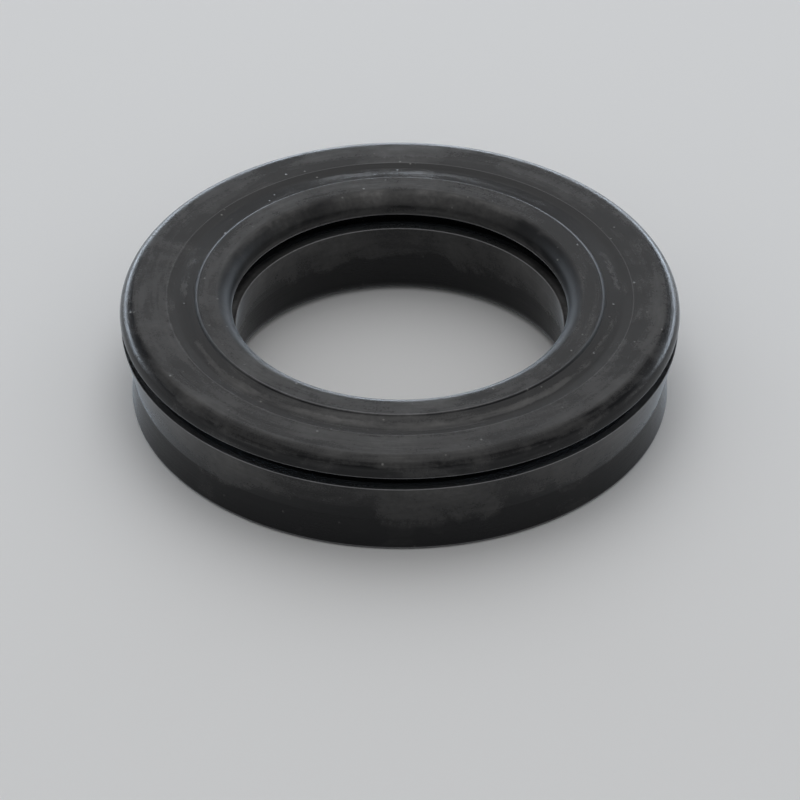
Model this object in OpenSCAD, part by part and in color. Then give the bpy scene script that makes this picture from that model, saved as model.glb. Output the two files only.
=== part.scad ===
// Rod seal: one moulded rubber ring, turned about +Z.
// A bull-nosed top flange stands on a central web. Below it, the body carries a
// sealing lip on each side: the outer lip meets the housing, the inner lip the rod.
// The origin is the centre of the flat base. All sizes are in millimetres.

/* [Fit] */
// Rod diameter: the guide bore and the hole through the flange
rod_d = 30; // [26:0.5:32]
// Housing bore: the diameter across the flange
housing_d = 50; // [48:0.5:60]
// Overall height, from the base to the top face
height = 10.5; // [8:0.5:16]

/* [Flange] */
// Thickness of the flange at its inner land, the highest part of the top face
flange_t = 2.1; // [1.6:0.1:2.8]
// How far the outer land stands below the inner land
land_drop = 0.3; // [0.1:0.05:0.4]
// Radius of the bull nose round the flange's upper outer edge
nose_r = 1.5; // [0.4:0.1:2]
// Radius of the bull nose round the upper edge of the flange's hole
mouth_r = 1.4; // [0.3:0.1:1.5]
// Radius of the flange's two lower edges
rim_r = 0.3; // [0.05:0.05:0.4]
// Width from the flange's hole to the step down into the ring recess
land_w = 3.1; // [2.2:0.1:3.6]
// Width of the ring recess, from the step to the outer land
recess_w = 2.7; // [1.8:0.1:3]
// Depth of the ring recess at its lowest, measured from the outer land
recess_depth = 0.1; // [0.05:0.05:0.3]
// Width of the step's sloping face
step_w = 0.15; // [0.05:0.05:0.5]
// Height of the step's face, down to where the recess's floor starts to fall
step_h = 0.15; // [0.05:0.05:0.3]
// Width of the shallow slope from the recess up to the outer land
outer_slope_w = 0.8; // [0.2:0.1:1]

/* [Grooves and lips] */
// Height of both groove mouths, between a lip and the flange
groove_h = 1.1; // [0.7:0.1:2]
// Depth of the outer groove, measured from the flange's edge
outer_groove_depth = 3; // [1.8:0.1:3.4]
// Depth of the inner groove, measured from the flange's hole
inner_groove_depth = 3; // [1.8:0.1:3.4]
// Fall of a lip's back, from its edge down to the groove's root, in degrees
lip_back_angle = 20; // [8:1:28]
// How far the outer lip stands inside the flange's edge, on the radius
outer_lip_set = 0.1; // [0:0.05:0.4]
// How far the inner lip stands inside the rod's surface, on the radius
inner_lip_bite = 0.4; // [0.1:0.05:0.6]
// Height of the outer lip's flared flank, down to the waist
outer_flare_h = 4.1; // [2.5:0.1:4.5]
// Height of the inner lip's tapered flank, down to the guide bore
inner_taper_h = 3.7; // [2:0.1:4]

/* [Base] */
// How far the base's outer edge stands inside the flange's edge, on the radius
base_set = 1; // [0.6:0.1:1.6]
// How much narrower the waist is than the base's outer edge, on the radius
waist_depth = 0.15; // [0.05:0.05:0.4]
// Radius of the base's outer edge
foot_r = 0.3; // [0.1:0.1:1]
// Radius of the lead-in where the rod enters at the base
lead_in_r = 1.3; // [0.4:0.1:1.5]

/* [Hidden] */
$fn = 180;
seal_color = "#1e1f21";

// Radii of the section, outward from the axis
rod_r = rod_d / 2;
flange_r = housing_d / 2;
inner_lip_r = rod_r - inner_lip_bite;
outer_lip_r = flange_r - outer_lip_set;
base_r = flange_r - base_set;
waist_r = base_r - waist_depth;
inner_root_r = rod_r + inner_groove_depth;
outer_root_r = flange_r - outer_groove_depth;
recess_r = rod_r + land_w;

// Heights of the section, up from the base
outer_land_z = height - land_drop;
recess_z = outer_land_z - recess_depth;
step_z = max(height - step_h, recess_z);
flange_z = height - flange_t;
lip_z = flange_z - groove_h;
waist_z = lip_z - outer_flare_h;
guide_z = lip_z - inner_taper_h;

// The bull noses leave room for the rim radius below them
nose_fit_r = min(nose_r, outer_land_z - flange_z - rim_r);
mouth_fit_r = min(mouth_r, flange_t - rim_r);

// Cuts run this far past the surface that they open through
past = 1;

// What a convex radius takes off a square corner. The corner is at `corner`,
// and `side` points out of the material: [1, 1] is right and up.
module corner_cut(corner, side, radius) {
    translate(corner)
    scale(side)
    translate([-radius, -radius])
    difference() {
        square(radius + past);
        circle(radius);
    }
}

// The space of one groove, drawn for a lip whose edge is at the origin and
// points along +X, with the flange's face a mouth's height above it. The back of
// the lip falls towards -X, and one arc, tangent to the flange's face, to the
// lip's back and to the web, makes the root.
module groove(depth) {
    slope = tan(lip_back_angle);
    root_r = (groove_h + depth * slope) / (1 + 1 / cos(lip_back_angle) + slope);
    root = [root_r - depth, groove_h - root_r];
    tangent = root + root_r * [sin(lip_back_angle), -cos(lip_back_angle)];
    polygon([[past, 0], [0, 0], tangent, root, [root.x, groove_h], [past, groove_h]]);
    translate(root) circle(root_r);
}

// The flange: a raised inner land, a small step, the ring recess, whose floor falls
// outwards, and the outer land
module flange_section() {
    difference() {
        polygon([
            [rod_r, flange_z],
            [flange_r, flange_z],
            [flange_r, outer_land_z],
            [recess_r + recess_w, outer_land_z],
            [recess_r + recess_w - outer_slope_w, recess_z],
            [recess_r + step_w, step_z],
            [recess_r, height],
            [rod_r, height],
        ]);
        corner_cut([flange_r, outer_land_z], [1, 1], nose_fit_r);
        corner_cut([rod_r, height], [-1, 1], mouth_fit_r);
        corner_cut([flange_r, flange_z], [1, -1], rim_r);
        corner_cut([rod_r, flange_z], [-1, -1], rim_r);
    }
}

// The body and the web, up to the flange, with both grooves cut between them
module body_section() {
    difference() {
        polygon([
            [rod_r, 0],
            [base_r, 0],
            [base_r, foot_r],
            [waist_r, waist_z],
            [outer_lip_r, lip_z],
            [outer_lip_r, flange_z],
            [inner_lip_r, flange_z],
            [inner_lip_r, lip_z],
            [rod_r, guide_z],
        ]);
        corner_cut([base_r, 0], [1, -1], foot_r);
        corner_cut([rod_r, 0], [-1, -1], lead_in_r);
        translate([outer_lip_r, lip_z]) groove(outer_lip_r - outer_root_r);
        translate([inner_lip_r, lip_z]) mirror([1, 0]) groove(inner_root_r - inner_lip_r);
    }
}

module seal_ring() {
    color(seal_color)
    rotate_extrude() {
        flange_section();
        body_section();
    }
}

seal_ring();
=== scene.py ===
"""Rod seal: one moulded rubber ring on a pale studio floor.

The ring's section is drawn as a chain of corners, rounded corner by corner, and
spun about the axis. Its sizes carry the names that the solid's source gives them.
Lengths are in metres, and the finish works in millimetres.
"""
import math

import bmesh
import bpy
from bpy.props import FloatProperty, FloatVectorProperty, IntProperty, PointerProperty
from mathutils import Matrix, Vector


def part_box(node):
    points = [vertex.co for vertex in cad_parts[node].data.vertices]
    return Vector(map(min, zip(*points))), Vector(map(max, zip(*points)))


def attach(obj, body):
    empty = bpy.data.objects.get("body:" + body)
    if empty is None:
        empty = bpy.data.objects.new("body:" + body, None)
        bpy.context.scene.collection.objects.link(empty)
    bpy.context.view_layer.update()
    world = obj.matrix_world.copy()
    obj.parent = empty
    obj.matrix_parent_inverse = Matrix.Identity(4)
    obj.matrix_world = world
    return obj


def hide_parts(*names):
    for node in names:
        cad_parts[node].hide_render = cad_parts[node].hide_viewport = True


bl_info = {
    "name": "Rod Seal",
    "version": (1, 0, 0),
    "blender": (4, 5, 0),
    "location": "3D View > Sidebar > Rod Seal",
    "description": "Builds a moulded rubber rod seal and a pale studio round it",
    "category": "Add Mesh",
}

MM = 0.001

# The most that one flat face of a rounded corner turns
ARC_STEP = math.radians(9)
# Share of a groove root's full round, so that the rounds of its two corners don't meet
ROOT_SHARE = 0.995
# Vertices this close are one
MERGE_DISTANCE = 0.0002 * MM

LOW_STRIP_AZIMUTHS = (40, 65, 90, 115, 140)
# Sines of the height angles between which a mirrored backdrop turns into the ceiling
CEILING_RISE = (0.15, 0.55)

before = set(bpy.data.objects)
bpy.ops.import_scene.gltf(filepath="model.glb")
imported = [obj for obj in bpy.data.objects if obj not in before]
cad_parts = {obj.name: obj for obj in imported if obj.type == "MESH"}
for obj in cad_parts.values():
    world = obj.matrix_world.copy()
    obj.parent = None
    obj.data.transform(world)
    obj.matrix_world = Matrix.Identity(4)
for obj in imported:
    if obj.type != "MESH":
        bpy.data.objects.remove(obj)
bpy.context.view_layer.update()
RING_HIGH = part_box("seal_ring")[1]


def length(name, description, default):
    """A length property, shown in the scene's own unit."""
    return FloatProperty(
        name=name, description=description, default=default,
        min=0.0, soft_max=0.1, precision=5, subtype="DISTANCE", unit="LENGTH",
    )


def amount(name, description, default, high=1.0):
    """A plain factor from 0 to a highest value."""
    return FloatProperty(name=name, description=description, default=default, min=0.0, max=high)


def color(name, description, default):
    """A scene-linear colour."""
    return FloatVectorProperty(
        name=name, description=description, default=default,
        subtype="COLOR", size=3, min=0.0, max=1.0,
    )


class RodSealSizes(bpy.types.PropertyGroup):
    """The ring's section, measured from its axis and its base."""

    flange_r: length("Flange radius", "Outside of the flange, in the housing bore", RING_HIGH.x)
    height: length("Height", "From the base to the top face", RING_HIGH.z)
    rod_r: length("Rod radius", "The guide bore and the flange's hole", 15 * MM)
    flange_t: length("Flange thickness", "Thickness at the inner land", 2.1 * MM)
    land_drop: length("Land drop", "Outer land below the inner land", 0.3 * MM)
    nose_r: length("Nose radius", "Bull nose on the flange's upper edge", 1.5 * MM)
    mouth_r: length("Mouth radius", "Bull nose round the flange's hole", 1.4 * MM)
    rim_r: length("Rim radius", "Rounds on the flange's lower edges", 0.28 * MM)
    land_w: length("Land width", "From the hole to the step down", 3.1 * MM)
    recess_w: length("Recess width", "From the step to the outer land", 2.7 * MM)
    recess_depth: length("Recess depth", "Recess below the outer land", 0.1 * MM)
    step_w: length("Step width", "Sloping face of the step", 0.15 * MM)
    step_h: length("Step height", "Down to where the recess's floor starts to fall", 0.15 * MM)
    outer_slope_w: length("Outer slope", "Slope up to the outer land", 0.8 * MM)
    groove_h: length("Groove height", "Mouth between a lip and the flange", 1.1 * MM)
    groove_depth: length("Groove depth", "From the flange's edge to the web", 3.0 * MM)
    lip_fall: FloatProperty(
        name="Lip fall", description="Fall of a lip's back towards the web",
        default=math.radians(20), subtype="ANGLE", unit="ROTATION",
    )
    outer_lip_set: length("Outer lip set", "Outer lip inside the flange's edge", 0.1 * MM)
    inner_lip_bite: length("Inner lip bite", "Inner lip inside the rod's surface", 0.4 * MM)
    outer_flare_h: length("Outer flare", "Height of the outer lip's flank", 4.1 * MM)
    inner_taper_h: length("Inner taper", "Height of the inner lip's flank", 3.7 * MM)
    base_set: length("Base set", "Base's edge inside the flange's edge", 1.0 * MM)
    waist_depth: length("Waist depth", "Waist inside the base's edge", 0.15 * MM)
    foot_r: length("Foot radius", "Outer edge of the base", 0.3 * MM)
    lead_in_r: length("Lead-in radius", "Inner edge of the base", 1.3 * MM)
    edge_r: length("Edge radius", "Round left by the mould on a sharp edge", 0.05 * MM)
    soft_r: length("Soft radius", "Round at the foot of the step", 0.15 * MM)
    crease_r: length("Crease radius", "Round in a shallow bend of a wall", 0.6 * MM)
    steps: IntProperty(name="Steps", description="Steps round the ring", default=288, min=24)


class RodSealRubber(bpy.types.PropertyGroup):
    """The finish of the moulded rubber."""

    black: color("Black", "Clean rubber", (0.0075, 0.0078, 0.0086))
    # Bloom: its grey also carries painted light and shade round the ring
    bloom: color("Bloom", "Grey film left by handling and the mould", (0.120, 0.118, 0.116))
    # Edge: the colour of painted highlights along the sharp edges and on the flanks at the ends
    edge: color("Edge", "Rubbed sharp edges", (0.30, 0.30, 0.31))
    dust: color("Dust", "Dust specks", (0.24, 0.24, 0.23))
    sheen: color("Sheen", "Tint of the sheen of fine dust, seen along the surface", (0.80, 0.90, 1.0))
    sheen_weight: amount("Sheen weight", "Strength of the sheen", 0.50)
    sheen_roughness: amount("Sheen roughness", "How far in from the edge the sheen reaches", 0.22)
    specular: amount("Specular level", "Strength of the gloss", 0.25)
    roughness: amount("Roughness", "Roughness of clean rubber", 0.24)
    bloom_roughness: amount("Bloom roughness", "Added roughness under the film", 0.24)
    film: amount("Film", "Bloom that lies evenly", 0.16)
    clouds: amount("Clouds", "Bloom that gathers in clouds", 0.24)
    relief: amount("Relief", "Strength of the turned waves and the grain", 1.0)


class RodSealStudio(bpy.types.PropertyGroup):
    """The floor, the lamps and the camera."""

    floor: color("Floor", "Pale floor and backdrop", (0.76, 0.765, 0.77))
    ceiling: color("Ceiling", "Dimmer backdrop that a gloss mirrors", (0.14, 0.14, 0.145))
    ambient: amount("Ambient", "Level of the light from all round", 0.46, 4.0)
    key: amount("Overhead softbox", "Watts of the overhead softbox", 1.7, 100.0)
    strip: amount("Low strips", "Watts of each low strip behind", 0.12, 100.0)
    cool: color("Cool", "Tint of the low strips", (0.76, 0.87, 1.0))
    lens: FloatProperty(name="Lens", description="Focal length in mm", default=501.75)
    distance: length("Distance", "Camera to the outer lip's centre", 996 * MM)
    elevation: FloatProperty(
        name="Elevation", description="Camera's height angle above the lips",
        default=math.radians(35.88), subtype="ANGLE", unit="ROTATION",
    )
    roll: FloatProperty(
        name="Roll", description="Camera's turn about its own axis",
        default=math.radians(0.17), subtype="ANGLE", unit="ROTATION",
    )
    aim: FloatVectorProperty(
        name="Aim", description="Point that the camera looks at",
        default=(0.036 * MM, -4.07 * MM, 1.755 * MM), size=3, precision=6,
        subtype="TRANSLATION", unit="LENGTH",
    )


# --- Shader expressions ---------------------------------------------------------


class Field:
    """A number that varies over a surface. Arithmetic on it adds Math nodes."""

    def __init__(self, graph, socket):
        self.graph = graph
        self.socket = socket

    def math(self, operation, *values, clamp=False):
        """The result of one Math node, as a new Field."""
        settings = {"operation": operation, "use_clamp": clamp}
        return self.graph.node("ShaderNodeMath", settings, dict(enumerate(values)))

    def __add__(self, other):
        return self.math("ADD", self, other)

    def __radd__(self, other):
        return self.math("ADD", other, self)

    def __sub__(self, other):
        return self.math("SUBTRACT", self, other)

    def __rsub__(self, other):
        return self.math("SUBTRACT", other, self)

    def __mul__(self, other):
        return self.math("MULTIPLY", self, other)

    def __rmul__(self, other):
        return self.math("MULTIPLY", other, self)

    def __truediv__(self, other):
        return self.math("DIVIDE", self, other)

    def __abs__(self):
        return self.math("ABSOLUTE", self)

    def sqrt(self):
        return self.math("SQRT", self)

    def clamp(self):
        """Held between 0 and 1."""
        return self.math("MAXIMUM", self, 0.0, clamp=True)

    def rise(self, low, high):
        """0 below low and 1 above high, with a smooth rise between."""
        settings = {"interpolation_type": "SMOOTHSTEP"}
        ends = {"Value": self, "From Min": low, "From Max": high}
        return self.graph.node("ShaderNodeMapRange", settings, ends)

    def band(self, centre, half, soft):
        """1 within half of the centre, and 0 from soft outside that."""
        return 1 - abs(self - centre).rise(half, half + soft)


class Graph:
    """The node tree of one finish, emptied first."""

    def __init__(self, tree):
        tree.nodes.clear()
        self.tree = tree

    def node(self, kind, settings=None, values=None, output=0):
        """A node with its settings, then its sockets' values or links, as one output's Field."""
        made = self.tree.nodes.new(kind)
        for name, value in (settings or {}).items():
            setattr(made, name, value)
        for name, value in (values or {}).items():
            if isinstance(value, Field):
                self.tree.links.new(value.socket, made.inputs[name])
            else:
                made.inputs[name].default_value = value
        if not made.outputs:
            return made
        return Field(self, made.outputs[output])

    def object_axes(self):
        """The x, y and z of a point in the object's own metres."""
        place = self.node("ShaderNodeTexCoord", None, None, output="Object")
        return [
            self.node("ShaderNodeSeparateXYZ", None, {"Vector": place}, output=axis)
            for axis in "XYZ"
        ]

    def mix(self, factor, first, second):
        """The second colour over the first one, by the factor."""
        return self.node(
            "ShaderNodeMix", {"data_type": "RGBA"}, {0: factor, 6: first, 7: second}, output=2,
        )

    def vector(self, x, y, z):
        """A vector from three Fields."""
        return self.node("ShaderNodeCombineXYZ", None, {"X": x, "Y": y, "Z": z})

    def noise(self, where, scale, detail=3.0, roughness=0.5, distortion=0.0):
        """Noise from 0 to 1, mostly near 0.5."""
        values = {
            "Vector": where, "Scale": scale, "Detail": detail,
            "Roughness": roughness, "Distortion": distortion,
        }
        return self.node("ShaderNodeTexNoise", {"noise_dimensions": "3D"}, values)


def opaque(rgb):
    """A colour property with its alpha."""
    return (*rgb, 1.0)


# --- The rubber's finish ---------------------------------------------------------


class Ring:
    """Where a shaded point lies on the ring, in millimetres, and on which part of it.

    A part is a mask: 1 on the part, 0 off it, and soft between.
    """

    def __init__(self, g, sizes):
        x, y, z = (axis / MM for axis in g.object_axes())
        r = (x * x + y * y).sqrt()
        self.r, self.z = r, z
        self.place = g.vector(x, y, z)
        self.cos, self.sin = x / r, y / r

        # Radii and heights of the section
        self.rod_r = sizes.rod_r / MM
        self.flange_r = sizes.flange_r / MM
        self.base_r = self.flange_r - sizes.base_set / MM
        self.outer_lip_r = self.flange_r - sizes.outer_lip_set / MM
        self.inner_lip_r = self.rod_r - sizes.inner_lip_bite / MM
        self.step_r = self.rod_r + sizes.land_w / MM
        self.outer_land_r = self.step_r + sizes.recess_w / MM
        self.slope_r = self.outer_land_r - sizes.outer_slope_w / MM / 2
        self.height = sizes.height / MM
        self.flange_z = self.height - sizes.flange_t / MM
        self.lip_z = self.flange_z - sizes.groove_h / MM
        self.waist_z = self.lip_z - sizes.outer_flare_h / MM

        # Round the ring: both ends of the X axis, the +X end alone, and the +Y side. These set where
        # painted light and shade follow the lamps.
        self.ends = self.cos * self.cos
        self.plus_x = self.cos.rise(0.2, 1.0)
        self.plus_y = self.sin.rise(0.1, 0.9)

        # The top's bands, from the outside in. The outer land gets painted shade towards +Y only, and
        # the outer slope a painted dark band, weaker at the ends.
        self.top = z.rise(self.height - 1.2, self.height - 0.6)
        self.nose = z.rise(self.flange_z - 0.3, self.flange_z - 0.1) * (
            r.rise(self.outer_land_r, self.outer_land_r + 1.5)
        )
        self.painted_land_shade = r.band(self.outer_land_r + 0.1, 0.3, 1.3) * self.plus_y * self.top
        self.slope = r.band(self.slope_r, 0.28, 0.10) * self.top
        self.recess = r.band(self.step_r + 1.0, 0.9, 0.15) * self.top
        self.step = r.band(self.step_r + 0.05, 0.15, 0.1) * self.top

        # The round of the hole's mouth at the ends, where shade is painted, and a band of it
        # elsewhere, where a highlight is painted
        self.mouth_ends_shade = (1 - r.rise(self.rod_r + 0.9, self.rod_r + 1.5)) * self.ends * (
            z.rise(self.flange_z + 0.5, self.flange_z + 0.8)
        )
        self.mouth_highlight_band = (1 - r.rise(self.rod_r + 0.7, self.rod_r + 1.3)) * (1 - self.ends) * (
            z.band(self.height - 0.50, 0.12, 0.35)
        )

        # Inside the grooves, and below the lips
        middle, half = (self.rod_r + self.flange_r) / 2, (self.flange_r - self.rod_r) / 2
        self.grooves = r.band(middle, half - 1.2, 0.3) * z.band(self.flange_z - 1.25, 1.15, 0.1)
        self.wall = 1 - z.rise(self.lip_z - 0.2, self.lip_z)
        self.inner_wall = 1 - r.rise(self.rod_r + 0.3, self.rod_r + 0.6)


class Smudges:
    """The noises of the finish, and the ragged masks of painted light and shade on the walls."""

    def __init__(self, g, ring):
        self.clouds = g.noise(ring.place, 0.15, 4.0, 0.6, 0.5).rise(0.36, 0.68)
        self.mottle = g.noise(ring.place, 2.3, 4.0, 0.65)
        self.grain = g.noise(ring.place, 7.0, 3.0, 0.6)

        def turned(along, over, detail, roughness, distortion=0.0):
            """Noise that runs round the ring, scaled along a turn and placed over the section."""
            where = g.vector(ring.cos * along, ring.sin * along, over)
            return g.noise(where, 1.0, detail, roughness, distortion)

        across = ring.r - ring.z
        self.smears = turned(3.4, across * 0.55, 4.0, 0.55, 0.7).rise(0.34, 0.68)
        self.waves = turned(1.1, across * 0.9, 2.0, 0.5, 0.2)
        self.streaks = turned(1.8, across * 1.3 + 7.0, 4.0, 0.6, 0.2)
        self.hair = turned(9.0, across * 5.5, 3.0, 0.55)
        # Streaks that break up the painted highlights on the flanks at the ends
        self.highlight_streaks = turned(9.0, ring.z * 0.35, 3.0, 0.6, 0.4).rise(0.42, 0.64)

        # Below a ragged line near the waist the walls get painted shade; above it the flank is kept
        # lighter, as painted light
        ragged_z = ring.z + (self.clouds - 0.5) * 1.4 + (self.mottle - 0.5) * 0.5
        above_waist = ragged_z.rise(ring.waist_z - 0.5, ring.waist_z + 1.1)
        self.painted_wall_shade = ring.wall * (1 - above_waist)
        self.flank = ring.wall * ring.z.rise(ring.waist_z, ring.lip_z) * above_waist


def bloom_and_painted_light(ring, smudge, look):
    """How thickly the grey bloom lies, from 0 to 1, with painted light and shade laid into it."""
    ragged = smudge.mottle - 0.5

    # A painted highlight laid as a frosted streak: in the recess, and towards +Y mostly on the inner
    # land
    frost_highlight = (ring.r + ragged * 0.6).band(ring.step_r + 1.25, 0.15, 0.35) * (1 - ring.plus_y * 0.75)
    frost_highlight = frost_highlight + (ring.r + ragged * 0.3).band(ring.rod_r + 0.95, 0.12, 0.30) * ring.plus_y
    frost_highlight = frost_highlight * ring.top * smudge.smears

    # Below a ragged line the bull nose gets painted shade
    nose_z = ring.z + (smudge.smears + smudge.mottle - 1.0) * 0.3
    painted_nose_shade = ring.nose * (1 - nose_z.rise(ring.height - 1.15, ring.height - 0.65))
    painted_shade_below = smudge.painted_wall_shade + painted_nose_shade

    turned = (smudge.smears - 0.5) * 0.20 + (smudge.streaks.rise(0.32, 0.7) - 0.5) * 0.16
    film = look.film + smudge.clouds * look.clouds + turned * (1 - ring.wall * 0.6)
    # Painted highlights: the frosted streak and the band round the mouth. Painted shade: the mouth's
    # round at the ends.
    film = film + frost_highlight * 0.42 + ring.mouth_highlight_band * 0.20 - ring.mouth_ends_shade * 0.25
    # Painted shade: the recess darker at the ends and towards +Y, on top of a slightly darker recess
    # all round
    film = film - ring.recess * (0.06 + ring.ends * 0.16 + ring.plus_y * 0.10)
    # Painted shade: the dark band on the outer slope, and the outer land towards +Y
    film = film - ring.slope * (1 - ring.ends * 0.8) * 0.40 - ring.painted_land_shade * 0.25
    # Painted shade on the top at both ends of the X axis and on the +X side
    film = film - ring.top * (ring.ends * 0.08 + ring.plus_x * 0.10)
    # Painted highlight on the flanks at both ends of the X axis, more on the inner wall there;
    # painted light over all the flank, and painted shade on all walls below the lips
    ends_highlight = ring.ends * (0.25 + smudge.highlight_streaks * 0.4 + ring.inner_wall * 0.3)
    film = film + smudge.flank * (0.05 + ends_highlight) - ring.wall * 0.12
    # Painted shade on the walls below the waist and on the lower part of the nose; no bloom in the
    # grooves
    film = film - painted_shade_below * 0.24 - ring.grooves
    return (film * (0.35 + smudge.mottle * 1.3)).clamp()


def edge_highlights(ring, smudge):
    """Painted highlights along the sharp edges, and on the flanks at the ends, where they catch the
    light.
    """
    r, z = ring.r, ring.z
    lips = r.band(ring.outer_lip_r, 0.05, 0.08) + r.band(ring.inner_lip_r, 0.05, 0.08)
    lips = lips * z.band(ring.lip_z, 0.05, 0.08)
    rim = r.band(ring.flange_r - 0.05, 0.06, 0.1) * z.band(ring.flange_z + 0.08, 0.06, 0.1)
    hole = r.band(ring.rod_r + 0.06, 0.08, 0.1) * z.band(ring.flange_z + 0.13, 0.08, 0.1)
    foot = r.band(ring.base_r, 0.10, 0.1) * z.band(0.22, 0.04, 0.08)
    step = r.band(ring.step_r, 0.02, 0.07) * ring.top
    land = r.band(ring.outer_land_r + 0.05, 0.0, 0.07) * ring.top
    flanks = smudge.flank * ring.ends.rise(0.65, 1.0) * (0.08 + smudge.highlight_streaks * 0.32)
    # The hole's edge gets a stronger painted highlight at the ends, and the step's line a weaker one
    edges = lips + hole * (0.5 + ring.ends * 1.5) + (rim + foot) * 0.6
    edges = edges + step * (0.6 - ring.ends * 0.35) + land * 0.25 + flanks
    return (edges * (0.3 + smudge.mottle * 0.7)).clamp()


def dust_specks(g, ring):
    """A few small specks of dust, more of them on the top."""
    from_speck = g.node(
        "ShaderNodeTexVoronoi", {"voronoi_dimensions": "3D"},
        {"Vector": ring.place, "Scale": 0.85, "Randomness": 1.0},
    )
    chosen = g.noise(ring.place, 0.43, 2.0, 0.5).rise(0.51, 0.57)
    return (1 - from_speck.rise(0.04, 0.13)) * chosen * (0.25 + ring.top * 0.75)


def rubber_finish(sizes, look):
    """Black moulded rubber: smudged bloom, faint turned streaks and dust, with painted light and
    shade in the bloom and painted highlights along the edges.
    """
    finish = bpy.data.materials.new("seal_rubber")
    finish.use_nodes = True
    g = Graph(finish.node_tree)
    ring = Ring(g, sizes)
    smudge = Smudges(g, ring)
    film = bloom_and_painted_light(ring, smudge, look)
    edges = edge_highlights(ring, smudge)
    dust = dust_specks(g, ring)

    # The bloom's cover carries painted light and shade as well as the bloom
    tint = g.mix(film, opaque(look.black), opaque(look.bloom))
    # Painted highlights along the edges and on the flanks at the ends
    tint = g.mix(edges, tint, opaque(look.edge))
    tint = g.mix(dust * 0.6, tint, opaque(look.dust))

    rough = look.roughness + film * look.bloom_roughness + (smudge.grain - 0.5) * 0.12
    rough = rough + ring.mouth_highlight_band * 0.25 + ring.mouth_ends_shade * 0.30 + ring.step * ring.ends * 0.30
    rough = rough - ring.recess * ring.plus_y * 0.12 - ring.painted_land_shade * 0.06

    relief = smudge.waves * 0.030 + smudge.hair * 0.012 + smudge.grain * 0.0022
    relief = relief + smudge.clouds * 0.012 + dust * 0.02
    bump = g.node(
        "ShaderNodeBump", None,
        {"Strength": look.relief, "Distance": 1.0 * MM, "Height": relief},
    )
    shader = g.node(
        "ShaderNodeBsdfPrincipled", None,
        {
            "Base Color": tint, "Roughness": rough, "Normal": bump,
            "IOR": 1.5, "Specular IOR Level": look.specular,
            "Sheen Weight": look.sheen_weight, "Sheen Roughness": look.sheen_roughness,
            "Sheen Tint": opaque(look.sheen),
        },
    )
    g.node("ShaderNodeOutputMaterial", None, {"Surface": shader})
    return finish


# --- The ring --------------------------------------------------------------------


def ring_corners(s):
    """The section's corners as (radius, height, round), once round from the base's outer edge."""
    flange_z = s.height - s.flange_t
    lip_z = flange_z - s.groove_h
    outer_lip = s.flange_r - s.outer_lip_set
    inner_lip = s.rod_r - s.inner_lip_bite
    outer_web = s.flange_r - s.groove_depth
    inner_web = s.rod_r + s.groove_depth
    base_r = s.flange_r - s.base_set
    recess_r = s.rod_r + s.land_w
    outer_land_z = s.height - s.land_drop
    recess_z = outer_land_z - s.recess_depth
    slope = math.tan(s.lip_fall)

    def root_round(depth):
        """Round of a groove's root that meets the flange, the web and the lip's back."""
        full = (s.groove_h + depth * slope) / (1 + 1 / math.cos(s.lip_fall) + slope)
        return full * ROOT_SHARE

    outer_depth = outer_lip - outer_web
    inner_depth = inner_web - inner_lip
    return [
        (base_r, 0, s.foot_r),
        (base_r - s.waist_depth, lip_z - s.outer_flare_h, s.crease_r),
        (outer_lip, lip_z, s.edge_r),
        (outer_web, lip_z - outer_depth * slope, root_round(outer_depth)),
        (outer_web, flange_z, root_round(outer_depth)),
        (s.flange_r, flange_z, s.rim_r),
        (s.flange_r, outer_land_z, s.nose_r),
        (recess_r + s.recess_w, outer_land_z, s.crease_r),
        (recess_r + s.recess_w - s.outer_slope_w, recess_z, s.crease_r),
        (recess_r + s.step_w, s.height - s.step_h, s.soft_r),
        (recess_r, s.height, s.edge_r),
        (s.rod_r, s.height, s.mouth_r),
        (s.rod_r, flange_z, s.rim_r),
        (inner_web, flange_z, root_round(inner_depth)),
        (inner_web, lip_z - inner_depth * slope, root_round(inner_depth)),
        (inner_lip, lip_z, s.edge_r),
        (s.rod_r, lip_z - s.inner_taper_h, s.crease_r),
        (s.rod_r, 0, s.lead_in_r),
    ]


def round_corner(bm, vert, radius):
    """Rounds one corner of a flat chain of edges with an arc of that radius."""
    near, far = (edge.other_vert(vert).co - vert.co for edge in vert.link_edges)
    turn = math.pi - near.angle(far)
    segments = max(2, round(turn / ARC_STEP))
    bmesh.ops.bevel(
        bm, geom=[vert], offset=radius * math.tan(turn / 2), offset_type="ABSOLUTE",
        segments=segments, profile=0.5, affect="VERTICES", material=-1, clamp_overlap=True,
    )


def spun_section(corners, steps):
    """A closed ring: the corners' chain, rounded and spun about Z."""
    bm = bmesh.new()
    chain = [bm.verts.new((radius, 0, height)) for radius, height, _ in corners]
    for start, end in zip(chain, chain[1:] + chain[:1]):
        bm.edges.new((start, end))
    for vert, (_, _, radius) in zip(chain, corners):
        round_corner(bm, vert, radius)
    bmesh.ops.spin(
        bm, geom=bm.verts[:] + bm.edges[:], axis=(0, 0, 1), cent=(0, 0, 0),
        angle=math.tau, steps=steps, use_merge=True,
    )
    bmesh.ops.remove_doubles(bm, verts=bm.verts, dist=MERGE_DISTANCE)
    bmesh.ops.recalc_face_normals(bm, faces=bm.faces)
    return bm


def mesh_piece(name, bm, finish):
    """A smooth-shaded object from a bmesh, which is freed."""
    mesh = bpy.data.meshes.new(name)
    for face in bm.faces:
        face.smooth = True
    bm.to_mesh(mesh)
    bm.free()
    mesh.materials.append(finish)
    piece = bpy.data.objects.new(name, mesh)
    bpy.context.scene.collection.objects.link(piece)
    return piece


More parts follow.
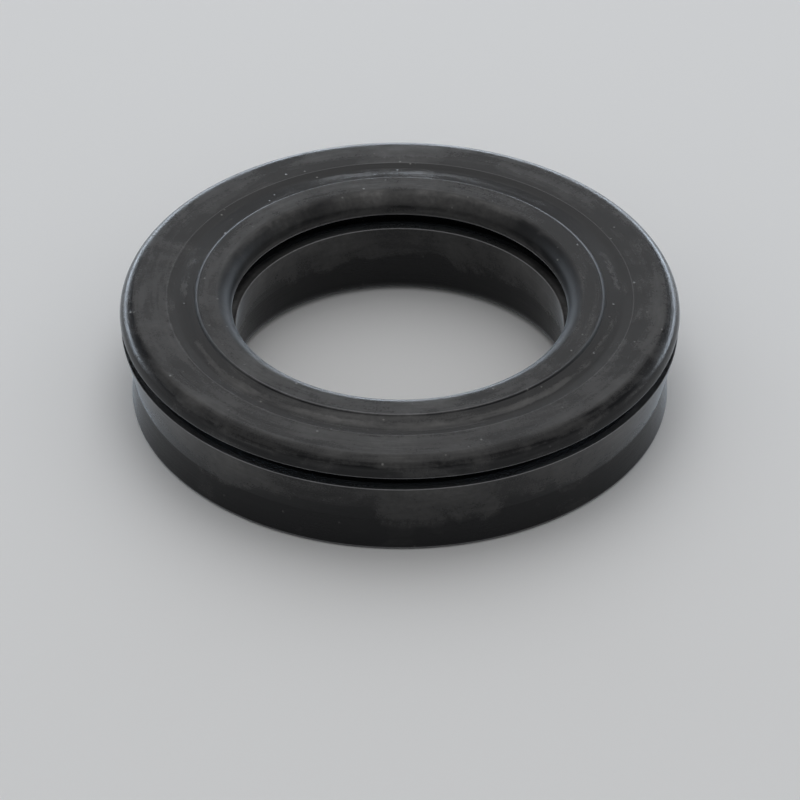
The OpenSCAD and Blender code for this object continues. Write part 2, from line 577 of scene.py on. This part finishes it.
class ROD_SEAL_OT_ring(bpy.types.Operator):
    """Build the moulded rubber ring in place of the plain solid"""

    bl_idname = "rod_seal.ring"
    bl_label = "Moulded ring"
    bl_options = {"REGISTER", "UNDO"}

    def execute(self, context):
        sizes = context.scene.rod_seal_sizes
        finish = rubber_finish(sizes, context.scene.rod_seal_rubber)
        section = spun_section(ring_corners(sizes), sizes.steps)
        ring = mesh_piece("moulded_ring", section, finish)
        even = ring.modifiers.new("even_shading", "WEIGHTED_NORMAL")
        even.weight = 80
        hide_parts("seal_ring")
        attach(ring, "root")
        return {"FINISHED"}


# --- The stage -------------------------------------------------------------------


def floor_finish(rgb):
    """A plain matt floor."""
    finish = bpy.data.materials.new("pale_floor")
    finish.use_nodes = True
    g = Graph(finish.node_tree)
    shader = g.node(
        "ShaderNodeBsdfPrincipled", None,
        {"Base Color": opaque(rgb), "Roughness": 0.75, "Specular IOR Level": 0.2},
    )
    g.node("ShaderNodeOutputMaterial", None, {"Surface": shader})
    return finish


def pale_world(rgb, ceiling, ambient):
    """Lights evenly from all round and shows as a pale backdrop.

    What a gloss mirrors of it has a dimmer ceiling.
    """
    world = bpy.data.worlds.new("pale_backdrop")
    world.use_nodes = True
    bpy.context.scene.world = world
    g = Graph(world.node_tree)
    direct, mirrored, through = (
        g.node("ShaderNodeLightPath", None, None, output=f"Is {ray} Ray")
        for ray in ("Camera", "Glossy", "Transmission")
    )
    seen = (direct + mirrored + through).clamp()
    heading = g.node("ShaderNodeTexCoord", None, None, output="Generated")
    climb = g.node("ShaderNodeSeparateXYZ", None, {"Vector": heading}, output="Z")
    overhead = climb.rise(*CEILING_RISE) * (1 - direct)
    backdrop = g.mix(overhead, opaque(rgb), opaque(ceiling))
    plain = g.node("ShaderNodeBackground", None, {"Color": backdrop, "Strength": 1.0})
    soft = g.node("ShaderNodeBackground", None, {"Color": (1, 1, 1, 1), "Strength": ambient})
    shown = g.node("ShaderNodeMixShader", None, {0: seen, 1: soft, 2: plain})
    g.node("ShaderNodeOutputWorld", None, {"Surface": shown})


def softbox(name, watts, azimuth, elevation, distance, width, depth):
    """An area lamp that faces the ring, from an azimuth turned from +X and a height angle."""
    lamp = bpy.data.lights.new(name, "AREA")
    lamp.shape = "RECTANGLE"
    lamp.size = width
    lamp.size_y = depth
    lamp.energy = watts
    box = bpy.data.objects.new(name, lamp)
    box.visible_camera = False
    bearing, rise = math.radians(azimuth), math.radians(elevation)
    flat = Vector((math.cos(bearing), math.sin(bearing), 0)) * math.cos(rise)
    away = flat + Vector((0, 0, math.sin(rise)))
    box.location = away * distance
    box.rotation_euler = away.to_track_quat("Z", "Y").to_euler()
    bpy.context.scene.collection.objects.link(box)
    return lamp


class ROD_SEAL_OT_stage(bpy.types.Operator):
    """Set the pale floor, the lamps and the camera"""

    bl_idname = "rod_seal.stage"
    bl_label = "Studio stage"
    bl_options = {"REGISTER", "UNDO"}

    def execute(self, context):
        studio = context.scene.rod_seal_studio
        sizes = context.scene.rod_seal_sizes
        bm = bmesh.new()
        bmesh.ops.create_grid(bm, x_segments=1, y_segments=1, size=2.0)
        floor = mesh_piece("studio_floor", bm, floor_finish(studio.floor))
        pale_world(studio.floor, studio.ceiling, studio.ambient)

        softbox(
            "overhead_softbox", studio.key,
            azimuth=90, elevation=72, distance=0.63, width=0.46, depth=1.25,
        )
        for azimuth in LOW_STRIP_AZIMUTHS:
            strip = softbox(
                f"low_strip_{azimuth}", studio.strip,
                azimuth=azimuth, elevation=5, distance=0.90, width=0.42, depth=0.12,
            )
            strip.color = studio.cool
            strip.spread = math.radians(50)

        camera = bpy.data.cameras.new("studio_camera")
        camera.lens = studio.lens
        camera.sensor_width = 36
        camera.clip_start = 0.01
        camera.clip_end = 20
        eye = bpy.data.objects.new("studio_camera", camera)
        lip = Vector((0, 0, sizes.height - sizes.flange_t - sizes.groove_h))
        back = Vector((0, -math.cos(studio.elevation), math.sin(studio.elevation)))
        eye.location = lip + back * studio.distance
        gaze = (eye.location - Vector(studio.aim)).to_track_quat("Z", "Y").to_matrix().to_4x4()
        eye.rotation_euler = (gaze @ Matrix.Rotation(studio.roll, 4, "Z")).to_euler()
        context.scene.collection.objects.link(eye)
        context.scene.camera = eye
        context.scene.view_settings.view_transform = "Standard"
        return {"FINISHED"}


class ROD_SEAL_PT_panel(bpy.types.Panel):
    """The pieces of the rod seal, in the order that they are built"""

    bl_idname = "ROD_SEAL_PT_panel"
    bl_label = "Rod Seal"
    bl_space_type = "VIEW_3D"
    bl_region_type = "UI"
    bl_category = "Rod Seal"

    def draw(self, context):
        layout = self.layout
        for step in (ROD_SEAL_OT_ring, ROD_SEAL_OT_stage):
            layout.operator(step.bl_idname)
        for group in ("rod_seal_sizes", "rod_seal_rubber", "rod_seal_studio"):
            values = getattr(context.scene, group)
            box = layout.box()
            for name in values.bl_rna.properties.keys():
                if name not in {"rna_type", "name"}:
                    box.prop(values, name)


CLASSES = (
    RodSealSizes, RodSealRubber, RodSealStudio,
    ROD_SEAL_OT_ring, ROD_SEAL_OT_stage, ROD_SEAL_PT_panel,
)


def register():
    for cls in CLASSES:
        bpy.utils.register_class(cls)
    bpy.types.Scene.rod_seal_sizes = PointerProperty(type=RodSealSizes)
    bpy.types.Scene.rod_seal_rubber = PointerProperty(type=RodSealRubber)
    bpy.types.Scene.rod_seal_studio = PointerProperty(type=RodSealStudio)


def unregister():
    del bpy.types.Scene.rod_seal_studio
    del bpy.types.Scene.rod_seal_rubber
    del bpy.types.Scene.rod_seal_sizes
    for cls in reversed(CLASSES):
        bpy.utils.unregister_class(cls)


def main():
    register()
    bpy.ops.rod_seal.ring()
    bpy.ops.rod_seal.stage()


if __name__ == "__main__":
    main()
